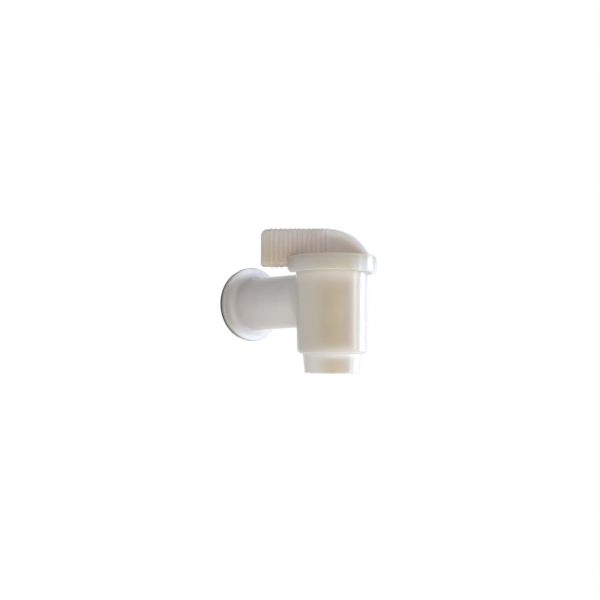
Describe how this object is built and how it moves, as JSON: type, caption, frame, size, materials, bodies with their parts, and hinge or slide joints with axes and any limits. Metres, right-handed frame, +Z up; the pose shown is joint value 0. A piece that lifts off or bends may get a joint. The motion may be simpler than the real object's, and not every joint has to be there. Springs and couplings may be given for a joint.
{
  "type": "drum tap",
  "caption": "Moulded drum tap with a threaded tail, flange and gasket, a long neck, an upright barrel with a spout, and a ribbed lever whose hollow plug turns to open the waterway.",
  "frame": {"origin": "centre of the threaded tail at the gasket's drum-side face", "axes": "+X from the drum outwards along the neck, +Z up along the barrel"},
  "size_m": [0.1026, 0.0515, 0.0732],
  "materials": {
    "natural_polyethylene": "milky translucent satin, as moulded",
    "gasket_rubber": "matt black"
  },
  "bodies": {
    "tap_body": {"body": "natural_polyethylene", "gasket": "gasket_rubber"},
    "handle": {"handle_plug": "natural_polyethylene"}
  },
  "joints": [
    {"name": "handle_turn", "type": "hinge", "parent": "tap_body", "child": "handle", "pos_m": [0.071, 0, 0], "axis": [0, 0, 1], "range_deg": [-50, 40]}
  ]
}
